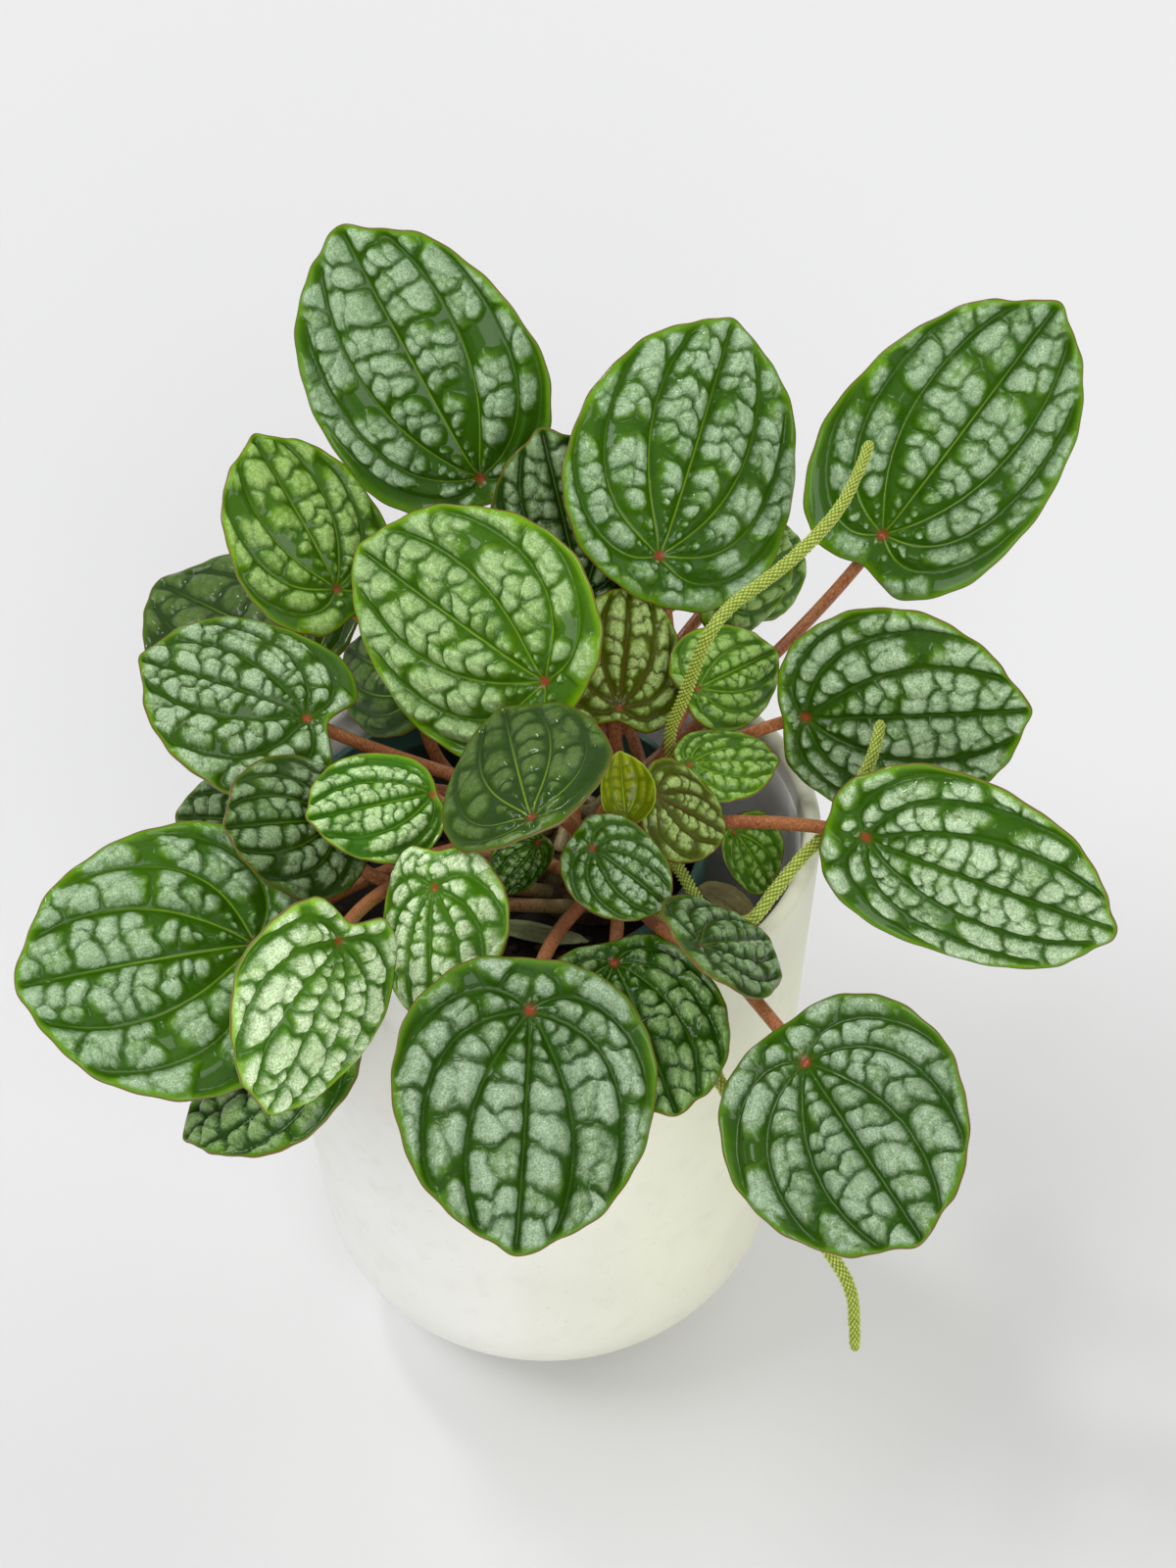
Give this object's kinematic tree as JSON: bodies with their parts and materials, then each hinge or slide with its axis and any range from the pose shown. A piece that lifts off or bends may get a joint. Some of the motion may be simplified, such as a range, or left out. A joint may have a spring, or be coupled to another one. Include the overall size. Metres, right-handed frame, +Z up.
{
  "type": "potted peperomia caperata",
  "caption": "Potted peperomia with quilted heart-shaped leaves on red stalks and thin flower spikes, in a nursery pot inside a rounded ceramic cachepot.",
  "frame": {"origin": "centre of the cachepot's flat foot, on the surface that it stands on", "axes": "+Z up, the picture looks along +Y, +X to its right"},
  "size_m": [0.2377, 0.2398, 0.2403],
  "materials": {
    "glazed_pot": "smooth cream matte ceramic",
    "plastic_pot": "dark green moulded plastic",
    "soil": "dark crumbly potting soil",
    "crown": "knobbly brown plant crown",
    "spike": "yellow-green knobbly flower spike",
    "bright_leaf": "bright young quilted leaf",
    "dark_leaf": "dark glossy leaf",
    "green_leaf": "deeply quilted green leaf with silver patches",
    "dry_leaf": "dry olive leaf"
  },
  "bodies": {
    "root": {"cachepot": "glazed_pot", "crown": "crown", "fallen_leaf": "dry_leaf", "flower_spike_low": "spike", "flower_spike_middle": "spike", "flower_spike_right": "spike", "leaf_back_centre": "green_leaf", "leaf_back_left": "green_leaf", "leaf_back_middle": "green_leaf", "leaf_back_right": "green_leaf", "leaf_behind_centre": "green_leaf", "leaf_behind_right_a": "dark_leaf", "leaf_behind_right_b": "dark_leaf", "leaf_centre_dark": "dark_leaf", "leaf_centre_front": "green_leaf", "leaf_centre_left": "green_leaf", "leaf_front": "green_leaf", "leaf_front_inner": "green_leaf", "leaf_front_left": "bright_leaf", "leaf_front_left_quilted": "bright_leaf", "leaf_front_right": "green_leaf", "leaf_front_small_right": "dark_leaf", "leaf_gap_right": "green_leaf", "leaf_inner_left_back": "dark_leaf", "leaf_left": "green_leaf", "leaf_left_dark": "dark_leaf", "leaf_left_hidden": "dark_leaf", "leaf_low_left": "green_leaf", "leaf_low_right": "green_leaf", "leaf_lowest_left": "dark_leaf", "leaf_mid_left_small": "green_leaf", "leaf_outer_left_back": "dark_leaf", "leaf_right": "green_leaf", "leaf_right_inner": "green_leaf", "leaf_under_centre": "dark_leaf", "leaf_upper_left": "green_leaf", "leaf_young_folded": "bright_leaf", "leaf_young_pointed": "green_leaf", "leaf_young_round": "green_leaf", "nursery_pot": "plastic_pot", "soil": "soil", "wilted_leaf": "dry_leaf"}
  },
  "joints": []
}
